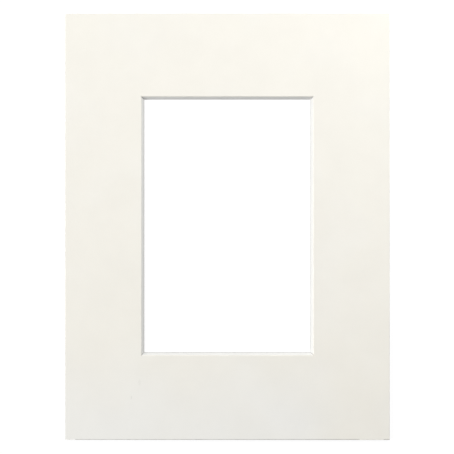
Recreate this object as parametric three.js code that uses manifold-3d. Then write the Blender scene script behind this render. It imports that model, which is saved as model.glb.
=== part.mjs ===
// Picture mount: one sheet of mount board with a bevel-cut window for a 10 x 15 cm print.
// The sheet lies on its back. X runs across it, Y towards the top of the picture and Z out of its face.
// The origin is the middle of the outline, on the back. Lengths are in millimetres, angles in degrees.

import * as THREE from 'three';
import { mergeVertices } from 'three/addons/utils/BufferGeometryUtils.js';
import Module from 'manifold-3d';

const wasm = await Module();
wasm.setup();

// The sheet
const boardWidth = 180;
const boardHeight = 236.5;
const boardThickness = 1.6;
// The guillotine comes down on the face and presses its outer edge over. It leaves the back edge square.
const faceEdgeRadius = 0.25;
const faceEdgeSteps = 5;

// The window, by its sight edge: the sharp edge on the back, next to the print
const sightWidth = 92.4;
const sightHeight = 140.5;
// The lower border is the wider one, so the window's centre is above the sheet's.
const windowRaise = 0.5;
// Between the bevel and the sheet
const bevelAngle = 45;

// The knife, which cuts each side of the window in one slanted stroke
const bladeKerf = 0.12;
// How far a stroke runs past the corner that it shares on the face
const overcut = 0.4;

// How far the knife and the waste reach past the face and the back, so that each cut goes through
const cutClearance = 1;

const boardColor = 0xf4f1e6;
const boardRoughness = 0.85;
const quarterTurn = Math.PI / 2;

// Each millimetre of height moves the bevel this far outwards.
const bevelSlope = 1 / Math.tan(THREE.MathUtils.degToRad(bevelAngle));
const bevelRun = boardThickness * bevelSlope;
// The kerf as it is measured level with the sheet, across the slanted blade
const levelKerf = bladeKerf / Math.sin(THREE.MathUtils.degToRad(bevelAngle));
const cutBottom = -cutClearance;
const cutTop = boardThickness + cutClearance;

function toSolid(geometry) {
	const bare = geometry.clone();
	bare.deleteAttribute('normal');
	bare.deleteAttribute('uv');
	const merged = mergeVertices(bare, 1e-5);
	return new wasm.Manifold(new wasm.Mesh({
		numProp: 3,
		vertProperties: new Float32Array(merged.attributes.position.array),
		triVerts: new Uint32Array(merged.index.array),
	}));
}

function toGeometry(solid) {
	const mesh = solid.getMesh();
	const geometry = new THREE.BufferGeometry();
	geometry.setAttribute('position', new THREE.BufferAttribute(mesh.vertProperties, 3));
	geometry.setIndex(new THREE.BufferAttribute(mesh.triVerts, 1));
	return geometry;
}

function rectangle(width, height) {
	return new THREE.Shape()
		.moveTo(-width / 2, -height / 2)
		.lineTo(width / 2, -height / 2)
		.lineTo(width / 2, height / 2)
		.lineTo(-width / 2, height / 2)
		.closePath();
}

// The sheet as it leaves the guillotine. The extrusion rounds both of its faces, so it starts below the
// back, and a block as wide as the rounding reaches takes that end off square.
function trimmedSheet() {
	const sheet = new THREE.ExtrudeGeometry(rectangle(boardWidth, boardHeight), {
		depth: cutTop - faceEdgeRadius,
		bevelEnabled: true,
		bevelThickness: faceEdgeRadius,
		bevelSize: faceEdgeRadius,
		bevelOffset: -faceEdgeRadius,
		bevelSegments: faceEdgeSteps,
	});
	sheet.translate(0, 0, cutBottom);

	const offcutHeight = cutClearance + 2 * faceEdgeRadius;
	const offcut = new THREE.BoxGeometry(
		boardWidth + 2 * cutClearance,
		boardHeight + 2 * cutClearance,
		offcutHeight,
	);
	offcut.translate(0, 0, -offcutHeight / 2);
	return toSolid(sheet).subtract(toSolid(offcut));
}

// How far the bevel is from the window's middle at a height above the back
function bevelReach(sight, height) {
	return sight / 2 + height * bevelSlope;
}

// One stroke of the knife, along a side of the window. Its section is the slanted kerf, whose outer side
// is the bevel. It runs on past both corners, through the full thickness, as the real cut does.
function knifeStroke(sightAcross, sightAlong, turn) {
	const section = new THREE.Shape()
		.moveTo(bevelReach(sightAcross, cutBottom), cutBottom)
		.lineTo(bevelReach(sightAcross, cutTop), cutTop)
		.lineTo(bevelReach(sightAcross, cutTop) - levelKerf, cutTop)
		.lineTo(bevelReach(sightAcross, cutBottom) - levelKerf, cutBottom)
		.closePath();
	const length = sightAlong + 2 * (bevelRun + overcut);
	const stroke = new THREE.ExtrudeGeometry(section, { depth: length, bevelEnabled: false });
	stroke.translate(0, 0, -length / 2);
	stroke.rotateX(quarterTurn);
	stroke.rotateZ(turn);
	return stroke;
}

// The piece that drops out once the four strokes meet. Its sides run up the middle of the kerf, and it
// goes on straight above the face, where it cuts nothing.
function waste() {
	const middleOfKerf = levelKerf / 2;
	const height = cutTop - cutBottom;
	const backOutline = rectangle(
		2 * (bevelReach(sightWidth, cutBottom) - middleOfKerf),
		2 * (bevelReach(sightHeight, cutBottom) - middleOfKerf),
	);
	const block = new THREE.ExtrudeGeometry(backOutline, {
		depth: cutClearance,
		bevelEnabled: true,
		bevelThickness: height,
		bevelSize: height * bevelSlope,
		bevelSegments: 1,
	});
	block.translate(0, 0, cutTop);
	return block;
}

function windowCut() {
	let cut = toSolid(waste());
	for (let side = 0; side < 4; side += 1) {
		const upright = side % 2 === 0;
		const across = upright ? sightWidth : sightHeight;
		const along = upright ? sightHeight : sightWidth;
		cut = cut.add(toSolid(knifeStroke(across, along, side * quarterTurn)));
	}
	return cut.translate([0, windowRaise, 0]);
}

const mountBoard = new THREE.Mesh(
	toGeometry(trimmedSheet().subtract(windowCut())),
	new THREE.MeshStandardMaterial({ color: boardColor, roughness: boardRoughness, metalness: 0 }),
);
mountBoard.name = 'mount_board';

const group = new THREE.Group();
group.add(mountBoard);

export default group;
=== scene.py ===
"""A picture mount: one sheet of ivory mount board with a bevel-cut window, face up on a studio floor.

Lengths are in metres. X runs across the sheet, Y towards the top of the picture and Z out of its face.
The origin is the middle of the outline, on the back.
"""

import math

import bmesh
import bpy
from bpy.props import FloatProperty, FloatVectorProperty, IntProperty, PointerProperty
from mathutils import Matrix, Vector


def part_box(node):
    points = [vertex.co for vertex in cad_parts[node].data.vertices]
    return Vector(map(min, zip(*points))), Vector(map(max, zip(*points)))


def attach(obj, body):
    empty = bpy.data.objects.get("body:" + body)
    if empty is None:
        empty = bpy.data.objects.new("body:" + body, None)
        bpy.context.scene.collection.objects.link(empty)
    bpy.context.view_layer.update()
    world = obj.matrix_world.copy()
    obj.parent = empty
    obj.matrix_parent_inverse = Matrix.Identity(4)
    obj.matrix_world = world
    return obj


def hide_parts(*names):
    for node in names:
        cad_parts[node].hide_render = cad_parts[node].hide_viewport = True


bl_info = {
    "name": "Picture Mount",
    "version": (1, 0, 0),
    "blender": (4, 5, 0),
    "location": "View3D > Sidebar > Picture Mount",
    "description": "Cuts a bevelled window mount from a sheet of board and lights it on a studio floor",
    "category": "Add Mesh",
}

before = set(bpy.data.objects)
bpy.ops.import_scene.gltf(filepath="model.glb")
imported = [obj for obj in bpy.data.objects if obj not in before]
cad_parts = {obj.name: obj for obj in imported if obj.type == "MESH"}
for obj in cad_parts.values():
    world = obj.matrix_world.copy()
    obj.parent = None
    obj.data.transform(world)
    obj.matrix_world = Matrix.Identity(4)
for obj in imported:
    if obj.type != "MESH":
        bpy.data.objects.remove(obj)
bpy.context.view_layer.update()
sheet_low, sheet_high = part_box("mount_board")

# The photo is square. These are the outline's edges in it, in its pixels from the top left corner.
PHOTO_SIDE = 454
OUTLINE_LEFT = 65.0
OUTLINE_RIGHT = 389.7
OUTLINE_TOP = 13.5
OUTLINE_BOTTOM = 440.0

# The height of the knife's stroke about the middle of the board, in thicknesses of the board
STROKE_HEIGHT = 3
# Corners that are closer than this become one corner.
MERGE_DISTANCE = 1e-7
# A face's normal rises by 1 where it is level and by 0 where it is upright. Past the first of these a
# face counts as level, and up to the second as upright.
LEVEL_RISE = 0.999
UPRIGHT_RISE = 0.01
# The order of the board's materials
FACE_PAPER, BEVEL_CORE, TRIMMED_CORE, BACKING_AND_SIGHT_SHADE = range(4)

# Painted cooler light: the face paper is painted paler and less yellow towards the lower edge, but not at
# its right corner. Up the sheet from its middle, it is full ivory above the first of these and palest below
# the second.
# Across the sheet, the painted light is full to the left of the third and gone to the right of the fourth.
# Soft patches change the share of the pale tint by up to the amount given.
IVORY_HEIGHT = -0.055
COOLEST_LIGHT_HEIGHT = -0.118
COOL_LIGHT_FULL = 0.032
COOL_LIGHT_GONE = 0.068
TINT_PATCHES = 0.2

# Painted shadow: a thin grey line along the lower edge, standing in for the shade under that edge. How far
# up from the edge it is gone and is full, and, for each of its stretches, where along the edge it sets in,
# is full, begins to fade and is gone. The second stretch runs out past the right corner.
EDGE_SHADOW_INNER = 0.00065
EDGE_SHADOW_OUTER = 0.00035
EDGE_SHADOW_STRETCHES = ((-0.0848, -0.0840, 0.0728, 0.0738), (0.0863, 0.0871, 0.0920, 0.0930))
EDGE_SHADOW_DARKENING = 0.34
# Painted shade of two small bumps on the face, each a soft darker oval: its middle, its width and height,
# and by what share it is darker
BUMP_SHADE_MARKS = (
    ((-0.0532, -0.0947), (0.0007, 0.0022), 0.10),
    ((-0.0487, -0.0863), (0.0018, 0.0038), 0.04),
)
# How far out from its middle a painted bump shade is full and is gone, in halves of its width and height
BUMP_SHADE_FULL = 0.4
BUMP_SHADE_GONE = 1.3
# The line down a mitre, partly a real seam and partly painted shade in the corner: how far to either side it
# is full and is gone, and by what share it is darker
SEAM_AND_SHADE_FULL = 0.0001
SEAM_AND_SHADE_GONE = 0.0003
SEAM_AND_SHADE_DARKENING = 0.3
# The line where two plies of the core meet: how far up and down it is gone, and by what share it is
# darker
PLY_LINE_GONE = 0.00004
PLY_LINE_DARKENING = 0.05
# The lines that a blade leaves on a cut: about how many there are in a metre along each axis
BEVEL_GRAIN = (60, 60, 9000)
TRIMMED_GRAIN = (3500, 3500, 150)

# Noise keeps mostly between these two values, which are spread over the whole of what it is used for.
NOISE_LOW = 0.25
NOISE_HIGH = 0.75
NOISE_ROUGHNESS = 0.6
PAPER_GLOSS = 0.25

# How far the floor reaches from its middle, and how far it lies below the sheet's back so that the two
# don't touch
FLOOR_REACH = 6
FLOOR_DROP = 0.00005
FLOOR_ROUGHNESS = 0.9
MAIN_LIGHT_PLACE = (-1.434, -0.113, 0.698)
MAIN_LIGHT_SIDE = 0.7
NEAR_LIGHT_PLACE = (0.543, 0.581, 0.564)
NEAR_LIGHT_SIDE = 0.25
# Angles above the level: the horizon's light is full up to the first, and the sky's is from the second.
HORIZON_FULL = math.radians(1)
SKY_FULL = math.radians(6)


def length(name, description, default):
    """A size property, in metres."""
    return FloatProperty(
        name=name,
        description=description,
        default=default,
        min=0,
        precision=5,
        unit="LENGTH",
        subtype="DISTANCE",
    )


def color(name, description, default):
    """A colour property, in linear light."""
    return FloatVectorProperty(
        name=name, description=description, default=default, min=0, max=1, size=3, subtype="COLOR"
    )


def share(name, description, default):
    """A property from 0 to 1."""
    return FloatProperty(name=name, description=description, default=default, min=0, max=1, subtype="FACTOR")


def watts(name, description, default):
    """A light's power."""
    return FloatProperty(name=name, description=description, default=default, min=0, unit="POWER")


class MountSizes(bpy.types.PropertyGroup):
    """The sheet, its window and the layers of the board."""

    width: length("Width", "Across the sheet", sheet_high.x - sheet_low.x)
    height: length("Height", "Up the sheet, as the picture stands", sheet_high.y - sheet_low.y)
    thickness: length("Thickness", "Of the board, from back to face", sheet_high.z - sheet_low.z)
    face_edge_radius: length("Face edge radius", "How round the guillotine presses the outer edge", 0.00025)
    face_edge_steps: IntProperty(
        name="Face edge steps", description="Faces across the pressed edge", default=8, min=1, max=24
    )
    sight_width: length("Sight width", "Across the window at its sharp edge, on the back", 0.0924)
    sight_height: length("Sight height", "Up the window at its sharp edge, on the back", 0.1405)
    window_raise: length("Window raise", "How far the window's middle is above the sheet's", 0.0005)
    bevel_angle: FloatProperty(
        name="Bevel angle",
        description="Between the bevel and the sheet",
        default=math.radians(45),
        min=math.radians(30),
        max=math.radians(85),
        subtype="ANGLE",
    )
    blade_kerf: length("Blade kerf", "Width of the knife's cut", 0.00012)
    overcut: length("Overcut", "How far a cut runs past its corner on the face", 0.0004)
    face_paper: length("Face paper", "Thickness of the ivory paper on the face", 0.00025)
    back_paper: length("Backing paper", "Thickness of the grey paper on the back", 0.0003)


class MountFinish(bpy.types.PropertyGroup):
    """The colours of the board and the texture of its paper."""

    face_color: color("Face", "The ivory face paper", (0.880, 0.856, 0.786))
    # The pale face colour is painted cooler light on the lower part of the face.
    cool_lit_face_color: color("Pale face", "The face paper at the lower edge", (0.876, 0.867, 0.828))
    core_color: color("Core", "The white core, where it is cut", (0.765, 0.762, 0.740))
    # The back's grey is partly the backing paper's own and partly painted shade along the window's sight
    # edge.
    back_and_sight_shade_color: color("Back", "The grey backing paper", (0.56, 0.555, 0.535))
    mottle: share("Mottle", "How far the paper's tone drifts over a few centimetres", 0.012)
    tooth: length("Tooth", "Depth of the paper's grain", 0.000012)
    drag: length("Drag", "Depth of the lines that a blade leaves on a cut", 0.000010)
    roughness: share("Roughness", "Of the uncoated paper", 0.88)


class StudioSettings(bpy.types.PropertyGroup):
    """The floor, the lights and the camera."""

    floor_color: color("Floor", "The pale floor", (0.15, 0.15, 0.15))
    floor_glow: share("Floor glow", "Light that the floor gives off, as a light table does", 0.90)
    main_light: watts("Main light", "Low on the left", 30.2)
    near_light: watts("Near light", "Small, past the top right corner", 7.83)
    sky: share("Sky", "Light from overhead", 0.05)
    horizon: share("Horizon", "Light from low down all round", 0.85)
    camera_height: length("Camera height", "Above the face of the sheet", 0.45)


# Mesh


def bevel_slope(sizes):
    """How far the bevel moves outwards for each unit of height."""
    return 1 / math.tan(sizes.bevel_angle)


def level_kerf(sizes):
    """The knife's cut as it is measured level with the sheet, across the slanted blade."""
    return sizes.blade_kerf / math.sin(sizes.bevel_angle)


def to_object(name, shape):
    """A new object in the scene with this bmesh as its mesh. The bmesh is freed."""
    mesh = bpy.data.meshes.new(name)
    shape.to_mesh(mesh)
    shape.free()
    piece = bpy.data.objects.new(name, mesh)
    bpy.context.scene.collection.objects.link(piece)
    return piece


def trimmed_sheet(sizes):
    """The sheet as it leaves the guillotine, with the outer edge of its face pressed round."""
    shape = bmesh.new()
    middle = sizes.thickness / 2
    block = Matrix.Diagonal((sizes.width, sizes.height, sizes.thickness, 1))
    bmesh.ops.create_cube(shape, size=1, matrix=Matrix.Translation((0, 0, middle)) @ block)
    face_edges = [edge for edge in shape.edges if all(corner.co.z > middle for corner in edge.verts)]
    bmesh.ops.bevel(
        shape,
        geom=face_edges,
        offset=sizes.face_edge_radius,
        offset_type="OFFSET",
        affect="EDGES",
        segments=sizes.face_edge_steps,
        profile=0.5,
        material=-1,
    )
    return shape


def window_cut(sizes):
    """Everything that the knife takes out: the four slanted strokes and the waste that they free."""
    shape = bmesh.new()
    slope = bevel_slope(sizes)
    kerf = level_kerf(sizes)
    middle = sizes.thickness / 2
    stroke_height = STROKE_HEIGHT * sizes.thickness
    lean = Matrix.Identity(4)
    lean[0][2] = slope
    upright = (sizes.sight_width, sizes.sight_height)
    for side in range(4):
        across, along = upright if side % 2 == 0 else reversed(upright)
        stroke_length = along + 2 * (sizes.thickness * slope + sizes.overcut)
        block = Matrix.Diagonal((kerf, stroke_length, stroke_height, 1))
        place = Matrix.Translation((across / 2 + middle * slope - kerf / 2, 0, middle))
        turn = Matrix.Rotation(side * math.pi / 2, 4, "Z")
        bmesh.ops.create_cube(shape, size=1, matrix=turn @ place @ lean @ block)
    # The waste's sides run up the middle of the kerf.
    spread = 2 * middle * slope - kerf
    block = Matrix.Diagonal((sizes.sight_width + spread, sizes.sight_height + spread, stroke_height, 1))
    waste = bmesh.ops.create_cube(shape, size=1, matrix=Matrix.Translation((0, 0, middle)) @ block)
    for corner in waste["verts"]:
        outwards = (corner.co.z - middle) * slope
        corner.co.x += outwards * math.copysign(1, corner.co.x)
        corner.co.y += outwards * math.copysign(1, corner.co.y)
    bmesh.ops.translate(shape, verts=shape.verts, vec=(0, sizes.window_raise, 0))
    return shape


def subtract(piece, cutter):
    """Cuts one object's mesh by another's, and removes the cutter."""
    cut = piece.modifiers.new("window", "BOOLEAN")
    cut.operation = "DIFFERENCE"
    cut.solver = "EXACT"
    cut.use_self = True
    cut.object = cutter
    ready = piece.evaluated_get(bpy.context.evaluated_depsgraph_get())
    mesh = bpy.data.meshes.new_from_object(ready)
    piece.modifiers.clear()
    old = piece.data
    piece.data = mesh
    mesh.name = piece.name
    bpy.data.meshes.remove(old)
    bpy.data.meshes.remove(cutter.data)


def is_level(face):
    """Whether this face lies level, as the face and the back of the sheet do."""
    return abs(face.normal.z) > LEVEL_RISE


def mark_layers(piece, sizes):
    """Scores the layers of the board into its cut edges and gives each face its material."""
    shape = bmesh.new()
    shape.from_mesh(piece.data)
    bmesh.ops.remove_doubles(shape, verts=shape.verts, dist=MERGE_DISTANCE)
    face_paper_low = sizes.thickness - sizes.face_paper
    for height in (sizes.back_paper, sizes.thickness / 2, face_paper_low):
        bmesh.ops.bisect_plane(
            shape,
            geom=[*shape.verts, *shape.edges, *shape.faces],
            dist=MERGE_DISTANCE,
            plane_co=(0, 0, height),
            plane_no=(0, 0, 1),
        )
    # The ends of the slits lie in line, so the face and the back are split into full triangles here. An
    # exporter could give them one without any area.
    flat_sides = [face for face in shape.faces if is_level(face)]
    bmesh.ops.triangulate(shape, faces=flat_sides, ngon_method="BEAUTY")
    past_sight_edge = sizes.thickness * bevel_slope(sizes) + sizes.overcut + sizes.blade_kerf
    window_reach = Vector((sizes.sight_width, sizes.sight_height)) / 2
    window_reach += Vector((past_sight_edge, past_sight_edge))
    for face in shape.faces:
        middle = face.calc_center_median()
        above_window = middle.y - sizes.window_raise
        in_window = abs(middle.x) < window_reach.x and abs(above_window) < window_reach.y
        pressed = face.normal.z > UPRIGHT_RISE and not is_level(face) and not in_window
        if middle.z > face_paper_low or pressed:
            face.material_index = FACE_PAPER
        elif middle.z < sizes.back_paper:
            face.material_index = BACKING_AND_SIGHT_SHADE
        else:
            face.material_index = BEVEL_CORE if in_window else TRIMMED_CORE
        face.smooth = pressed
    shape.to_mesh(piece.data)
    shape.free()


# Materials


def add(tree, kind, **settings):
    """A new node with these settings. One that the node itself doesn't have sets or links an input."""
    node = tree.nodes.new(kind)
    for name, value in settings.items():
        if hasattr(node, name):
            setattr(node, name, value)
            continue
        socket = node.inputs[name.replace("_", " ").title()]
        if isinstance(value, bpy.types.NodeSocket):
            tree.links.new(value, socket)
        else:
            socket.default_value = value
    return node


def calculate(tree, operation, *values):
    """The result of a sum on numbers, each of which may come from a socket."""
    node = add(tree, "ShaderNodeMath", operation=operation)
    for socket, value in zip(node.inputs, values):
        if isinstance(value, bpy.types.NodeSocket):
            tree.links.new(value, socket)
        else:
            socket.default_value = value
    return node.outputs["Value"]


def fade(tree, value, start, end, low, high):
    """A number that goes smoothly from low to high as the value goes from start to end."""
    node = add(tree, "ShaderNodeMapRange", interpolation_type="SMOOTHSTEP", value=value)
    node.inputs["From Min"].default_value = start
    node.inputs["From Max"].default_value = end
    node.inputs["To Min"].default_value = low
    node.inputs["To Max"].default_value = high
    return node.outputs["Result"]


def axes(tree, vector):
    """The three coordinates of a place or a direction."""
    return add(tree, "ShaderNodeSeparateXYZ", vector=vector).outputs


def noise(tree, place, scale, detail, low, high):
    """Soft noise between two values. Its lumps are about one metre divided by the scale in size."""
    source = add(
        tree, "ShaderNodeTexNoise", vector=place, scale=scale, detail=detail, roughness=NOISE_ROUGHNESS
    )
    return fade(tree, source.outputs["Fac"], NOISE_LOW, NOISE_HIGH, low, high)


def stretched(tree, place, scale):
    """The place on the sheet with each axis scaled, so that a pattern on it is drawn out."""
    return add(tree, "ShaderNodeMapping", vector=place, scale=scale).outputs["Vector"]


def blank_material(name, finish):
    """A matt material, its node tree, its surface shader and the place on the sheet that patterns read."""
    material = bpy.data.materials.new(name)
    material.use_nodes = True
    tree = material.node_tree
    surface = tree.nodes["Principled BSDF"]
    surface.inputs["Roughness"].default_value = finish.roughness
    surface.inputs["Specular IOR Level"].default_value = PAPER_GLOSS
    place = tree.nodes.new("ShaderNodeTexCoord").outputs["Object"]
    return material, tree, surface, place


def shade(tree, surface, base, other, mix, tones):
    """Colours the surface by a mix of two colours, times every one of the tones."""
    tone = tones[0]
    for factor in tones[1:]:
        tone = calculate(tree, "MULTIPLY", tone, factor)
    blend = add(tree, "ShaderNodeMix", data_type="RGBA")
    tree.links.new(mix, blend.inputs["Factor"])
    colors = [socket for socket in blend.inputs if socket.type == "RGBA"]
    colors[0].default_value = (*base, 1)
    colors[1].default_value = (*other, 1)
    blended = next(socket for socket in blend.outputs if socket.type == "RGBA")
    node = add(tree, "ShaderNodeVectorMath", operation="SCALE", scale=tone)
    tree.links.new(blended, node.inputs[0])
    tree.links.new(node.outputs["Vector"], surface.inputs["Base Color"])


def relief(tree, surface, height, depth):
    """Raises the surface by a pattern of this depth in metres."""
    node = add(tree, "ShaderNodeBump", strength=1, distance=depth)
    tree.links.new(height, node.inputs["Height"])
    tree.links.new(node.outputs["Normal"], surface.inputs["Normal"])


def painted_bump_shade(tree, place, center, size, darkening):
    """A tone of 1 all over the sheet, but for a soft oval of painted shade that is darker by a share."""
    centered = add(tree, "ShaderNodeVectorMath", operation="SUBTRACT")
    tree.links.new(place, centered.inputs[0])
    centered.inputs[1].default_value = (*center, 0)
    scaled = add(tree, "ShaderNodeVectorMath", operation="MULTIPLY")
    tree.links.new(centered.outputs["Vector"], scaled.inputs[0])
    scaled.inputs[1].default_value = (2 / size[0], 2 / size[1], 0)
    away = add(tree, "ShaderNodeVectorMath", operation="LENGTH")
    tree.links.new(scaled.outputs["Vector"], away.inputs[0])
    return fade(tree, away.outputs["Value"], BUMP_SHADE_FULL, BUMP_SHADE_GONE, 1 - darkening, 1)


def painted_shadow_lower_edge(tree, place, sizes):
    """A tone of 1 but for a thin grey line of painted shadow along most of the lower edge."""
    x, y, _ = axes(tree, place)
    low_edge = -sizes.height / 2
    strength = fade(tree, y, low_edge + EDGE_SHADOW_INNER, low_edge + EDGE_SHADOW_OUTER, 0, EDGE_SHADOW_DARKENING)
    shadowed = 0
    for start, full, fading, end in EDGE_SHADOW_STRETCHES:
        sets_in = fade(tree, x, start, full, 0, 1)
        shadowed = calculate(tree, "MULTIPLY_ADD", sets_in, fade(tree, x, fading, end, 1, 0), shadowed)
    strength = calculate(tree, "MULTIPLY", strength, shadowed)
    along_edge = stretched(tree, place, (1, 0, 0))
    patchy = noise(tree, along_edge, scale=160, detail=3, low=0.85, high=1.1)
    strength = calculate(tree, "MULTIPLY", strength, patchy)
    return calculate(tree, "SUBTRACT", 1, strength)


def mitre_seams_and_shade(tree, place, sizes):
    """A tone of 1 but for a fine darker line down each mitre, where two strokes of the knife meet: seam and
    painted shade.
    """
    x, y, _ = axes(tree, place)
    past_side = calculate(tree, "SUBTRACT", calculate(tree, "ABSOLUTE", x), sizes.sight_width / 2)
    up = calculate(tree, "SUBTRACT", y, sizes.window_raise)
    past_end = calculate(tree, "SUBTRACT", calculate(tree, "ABSOLUTE", up), sizes.sight_height / 2)
    away = calculate(tree, "ABSOLUTE", calculate(tree, "SUBTRACT", past_side, past_end))
    return fade(tree, away, SEAM_AND_SHADE_FULL, SEAM_AND_SHADE_GONE, 1 - SEAM_AND_SHADE_DARKENING, 1)


def ply_line(tree, place, height):
    """A tone of 1 but for a thin darker line along the cut edges, where two plies of the core meet."""
    away = calculate(tree, "ABSOLUTE", calculate(tree, "SUBTRACT", axes(tree, place)["Z"], height))
    return fade(tree, away, 0, PLY_LINE_GONE, 1 - PLY_LINE_DARKENING, 1)


def face_paper_material(finish, sizes):
    """Uncoated ivory paper with a fine tooth and a slow drift of tone, painted cooler light low down, and
    painted shade of two bumps and of the lower edge.
    """
    material, tree, surface, place = blank_material("ivory_face_paper", finish)
    tones = [
        noise(tree, place, scale=45, detail=3, low=1 - finish.mottle, high=1 + finish.mottle),
        noise(tree, place, scale=2600, detail=2, low=0.99, high=1.01),
    ]
    # Painted shade of two small bumps on the face
    tones += [painted_bump_shade(tree, place, center, size, darkening) for center, size, darkening in BUMP_SHADE_MARKS]
    # Painted shadow: a thin grey line along the lower edge
    tones.append(painted_shadow_lower_edge(tree, place, sizes))
    x, y, _ = axes(tree, place)
    # Painted cooler light: paler and less yellow low down, towards the left
    painted_cool_light = fade(tree, y, COOLEST_LIGHT_HEIGHT, IVORY_HEIGHT, 1, 0)
    painted_cool_light = calculate(tree, "MULTIPLY", painted_cool_light, fade(tree, x, COOL_LIGHT_FULL, COOL_LIGHT_GONE, 1, 0))
    patches = noise(tree, place, scale=24, detail=2, low=-TINT_PATCHES, high=TINT_PATCHES)
    cool_light_and_patches = calculate(tree, "ADD", painted_cool_light, patches)
    shade(tree, surface, finish.face_color, finish.cool_lit_face_color, cool_light_and_patches, tones)
    relief(tree, surface, noise(tree, place, scale=1900, detail=4, low=0, high=1), finish.tooth)
    return material


def cut_core(name, finish, sizes, grain, marks):
    """White pulp as a blade leaves it: fine lines along the cut, fibres and the join of two plies."""
    material, tree, surface, place = blank_material(name, finish)
    tones = [
        noise(tree, place, scale=3200, detail=3, low=0.98, high=1.02),
        noise(tree, place, scale=120, detail=2, low=0.99, high=1.01),
        ply_line(tree, place, sizes.thickness / 2),
    ]
    tones += [mark(tree, place, sizes) for mark in marks]
    lines = noise(tree, stretched(tree, place, grain), scale=1, detail=3, low=0, high=1)
    ivory_lines = fade(tree, lines, start=0.6, end=1, low=0, high=0.15)
    shade(tree, surface, finish.core_color, finish.face_color, ivory_lines, tones)
    relief(tree, surface, lines, finish.drag)
    return material


def bevel_core_material(finish, sizes):
    """The core on the window's bevel, where the knife's lines run along the cut."""
    # The mitre lines are partly real seams and partly painted shade in the corners.
    return cut_core("bevel_core", finish, sizes, BEVEL_GRAIN, [mitre_seams_and_shade])


def trimmed_core_material(finish, sizes):
    """The core on the outer edges, where the guillotine's lines run down through the sheet."""
    return cut_core("trimmed_core", finish, sizes, TRIMMED_GRAIN, [])


def backing_and_sight_shade_material(finish):
    """Plain backing paper, greyer than the core, with the flecks of recycled pulp. Its grey is partly the
    paper's own and partly painted shade along the window's sight edge, where this layer shows.
    """
    material, tree, surface, place = blank_material("backing_paper_and_sight_shade", finish)
    tones = [
        noise(tree, place, scale=60, detail=3, low=0.985, high=1.01),
        noise(tree, place, scale=2200, detail=3, low=0.975, high=1.02),
    ]
    flecks = noise(tree, place, scale=700, detail=4, low=0, high=0.12)
    shade(tree, surface, finish.back_and_sight_shade_color, finish.core_color, flecks, tones)
    relief(tree, surface, noise(tree, place, scale=1400, detail=4, low=0, high=1), finish.tooth)
    return material


# Operators


class PICTURE_MOUNT_OT_cut_board(bpy.types.Operator):
    """Cut the mount from a sheet of board and finish its papers and cut edges"""

    bl_idname = "picture_mount.cut_board"
    bl_label = "Cut Board"
    bl_options = {"REGISTER", "UNDO"}

    def execute(self, context):
        sizes = context.scene.mount_sizes
        finish = context.scene.mount_finish
        board = to_object("bevelled_mount", trimmed_sheet(sizes))
        subtract(board, to_object("window_cut", window_cut(sizes)))
        mark_layers(board, sizes)
        # In the order of FACE_PAPER, BEVEL_CORE, TRIMMED_CORE and BACKING_AND_SIGHT_SHADE
        for material in (
            face_paper_material(finish, sizes),
            bevel_core_material(finish, sizes),
            trimmed_core_material(finish, sizes),
            backing_and_sight_shade_material(finish),
        ):
            board.data.materials.append(material)
        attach(board, "root")
        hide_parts("mount_board")
        return {"FINISHED"}


def area_light(name, place, side, power):
    """A square light, aimed at the middle of the sheet's back."""
    light = bpy.data.lights.new(name, "AREA")
    light.shape = "SQUARE"
    light.size = side
    light.energy = power
    lamp = bpy.data.objects.new(name, light)
    lamp.location = place
    lamp.rotation_euler = (-Vector(place)).to_track_quat("-Z", "Y").to_euler()
    bpy.context.scene.collection.objects.link(lamp)


def floor_material(studio):
    """The pale floor, which glows a little so that the thin sheet's shadow stays faint."""
    material = bpy.data.materials.new("studio_floor")
    material.use_nodes = True
    surface = material.node_tree.nodes["Principled BSDF"]
    surface.inputs["Base Color"].default_value = (*studio.floor_color, 1)
    surface.inputs["Roughness"].default_value = FLOOR_ROUGHNESS
    surface.inputs["Specular IOR Level"].default_value = 0
    surface.inputs["Emission Color"].default_value = (1, 1, 1, 1)
    surface.inputs["Emission Strength"].default_value = studio.floor_glow
    return material


def studio_floor(studio):
    """The floor, just below the sheet's back."""
    shape = bmesh.new()
    below = Matrix.Translation((0, 0, -FLOOR_DROP))
    bmesh.ops.create_grid(shape, x_segments=1, y_segments=1, size=FLOOR_REACH, matrix=below)
    floor = to_object("studio_floor", shape)
    floor.data.materials.append(floor_material(studio))
    return floor


def studio_world(studio):
    """A bright, even horizon under a dim sky."""
    world = bpy.data.worlds.new("studio")
    world.use_nodes = True
    tree = world.node_tree
    background = tree.nodes["Background"]
    direction = tree.nodes.new("ShaderNodeTexCoord").outputs["Generated"]
    rise = axes(tree, direction)["Z"]
    strength = fade(tree, rise, math.sin(HORIZON_FULL), math.sin(SKY_FULL), studio.horizon, studio.sky)
    tree.links.new(strength, background.inputs["Strength"])
    background.inputs["Color"].default_value = (1, 1, 1, 1)
    return world


def overhead_camera(sizes, studio):
    """Looks straight down at the face, with the sheet as large and as far off centre as in the photo."""
    pixel = sizes.width / (OUTLINE_RIGHT - OUTLINE_LEFT)
    lens = bpy.data.cameras.new("overhead")
    lens.lens = lens.sensor_width * studio.camera_height / (PHOTO_SIDE * pixel)
    lens.dof.use_dof = False
    camera = bpy.data.objects.new("overhead", lens)
    camera.location = (
        (PHOTO_SIDE / 2 - (OUTLINE_LEFT + OUTLINE_RIGHT) / 2) * pixel,
        ((OUTLINE_TOP + OUTLINE_BOTTOM) / 2 - PHOTO_SIDE / 2) * pixel,
        sizes.thickness + studio.camera_height,
    )
    bpy.context.scene.collection.objects.link(camera)
    return camera


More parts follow.
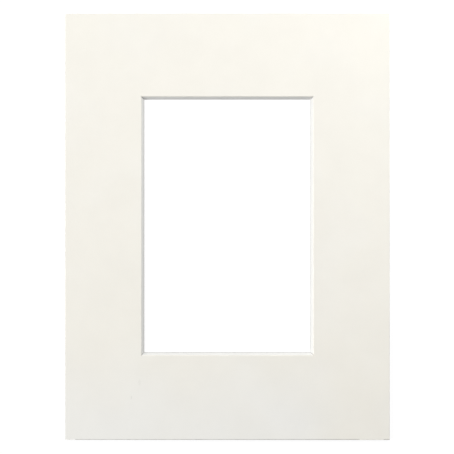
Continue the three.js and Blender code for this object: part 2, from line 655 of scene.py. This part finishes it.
class PICTURE_MOUNT_OT_set_stage(bpy.types.Operator):
    """Lay the floor, place the lights and hang the camera over the mount"""

    bl_idname = "picture_mount.set_stage"
    bl_label = "Set Stage"
    bl_options = {"REGISTER", "UNDO"}

    def execute(self, context):
        sizes = context.scene.mount_sizes
        studio = context.scene.mount_studio
        floor = studio_floor(studio)
        area_light("main_light", MAIN_LIGHT_PLACE, MAIN_LIGHT_SIDE, studio.main_light)
        area_light("near_light", NEAR_LIGHT_PLACE, NEAR_LIGHT_SIDE, studio.near_light)
        context.scene.world = studio_world(studio)
        context.scene.camera = overhead_camera(sizes, studio)
        context.scene.view_settings.view_transform = "Standard"
        return {"FINISHED"}


class PICTURE_MOUNT_PT_sidebar(bpy.types.Panel):
    """The sizes, the finish and the studio, with a button for each step"""

    bl_idname = "PICTURE_MOUNT_PT_sidebar"
    bl_label = "Picture Mount"
    bl_space_type = "VIEW_3D"
    bl_region_type = "UI"
    bl_category = "Picture Mount"

    def draw(self, context):
        for settings, operator in (
            (context.scene.mount_sizes, None),
            (context.scene.mount_finish, PICTURE_MOUNT_OT_cut_board),
            (context.scene.mount_studio, PICTURE_MOUNT_OT_set_stage),
        ):
            column = self.layout.column(align=True)
            for name in settings.__annotations__:
                column.prop(settings, name)
            if operator:
                self.layout.operator(operator.bl_idname)


classes = (
    MountSizes,
    MountFinish,
    StudioSettings,
    PICTURE_MOUNT_OT_cut_board,
    PICTURE_MOUNT_OT_set_stage,
    PICTURE_MOUNT_PT_sidebar,
)


def register():
    for cls in classes:
        bpy.utils.register_class(cls)
    bpy.types.Scene.mount_sizes = PointerProperty(type=MountSizes)
    bpy.types.Scene.mount_finish = PointerProperty(type=MountFinish)
    bpy.types.Scene.mount_studio = PointerProperty(type=StudioSettings)


def unregister():
    del bpy.types.Scene.mount_studio
    del bpy.types.Scene.mount_finish
    del bpy.types.Scene.mount_sizes
    for cls in reversed(classes):
        bpy.utils.unregister_class(cls)


def main():
    """Builds the scene."""
    register()
    bpy.ops.picture_mount.set_stage()
    bpy.ops.picture_mount.cut_board()


if __name__ == "__main__":
    main()
